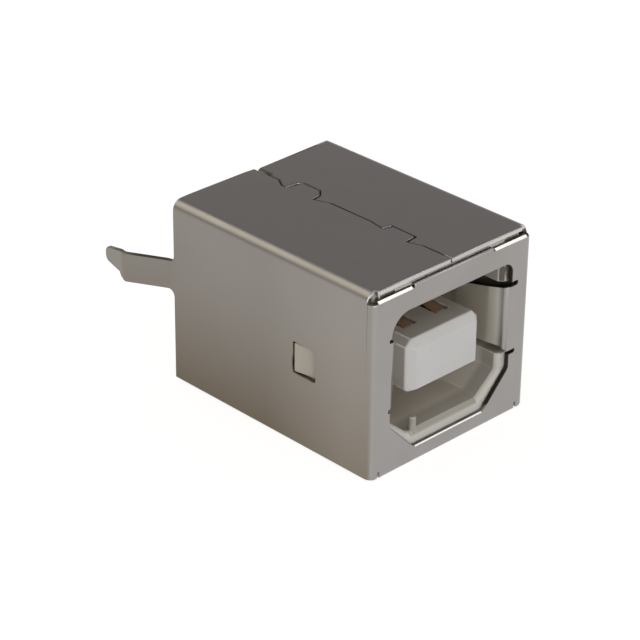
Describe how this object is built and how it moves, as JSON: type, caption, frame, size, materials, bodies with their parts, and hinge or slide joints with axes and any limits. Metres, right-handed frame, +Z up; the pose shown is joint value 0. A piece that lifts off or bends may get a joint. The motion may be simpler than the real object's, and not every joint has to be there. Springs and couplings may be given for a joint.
{
  "type": "usb-b socket",
  "caption": "Square type-B data socket for upright board mounting: a folded metal shell with a seam and kinked solder legs round a white insulator, its tongue and strip contacts.",
  "frame": {"origin": "on the resting surface, below the middle of the whole part's box", "axes": "+X across the mouth, +Y from the mating face to the solder tails, +Z up from the bottom wall to the wall with the seam"},
  "size_m": [0.015, 0.0204, 0.0114],
  "materials": {
    "shell": "satin nickel plating on folded sheet",
    "insulator": "moulded, fine matt",
    "contact": "bare copper alloy strip"
  },
  "bodies": {
    "root": {"shell": "shell", "insulator": "insulator", "contact_1": "contact", "contact_2": "contact", "contact_3": "contact", "contact_4": "contact"}
  },
  "joints": []
}
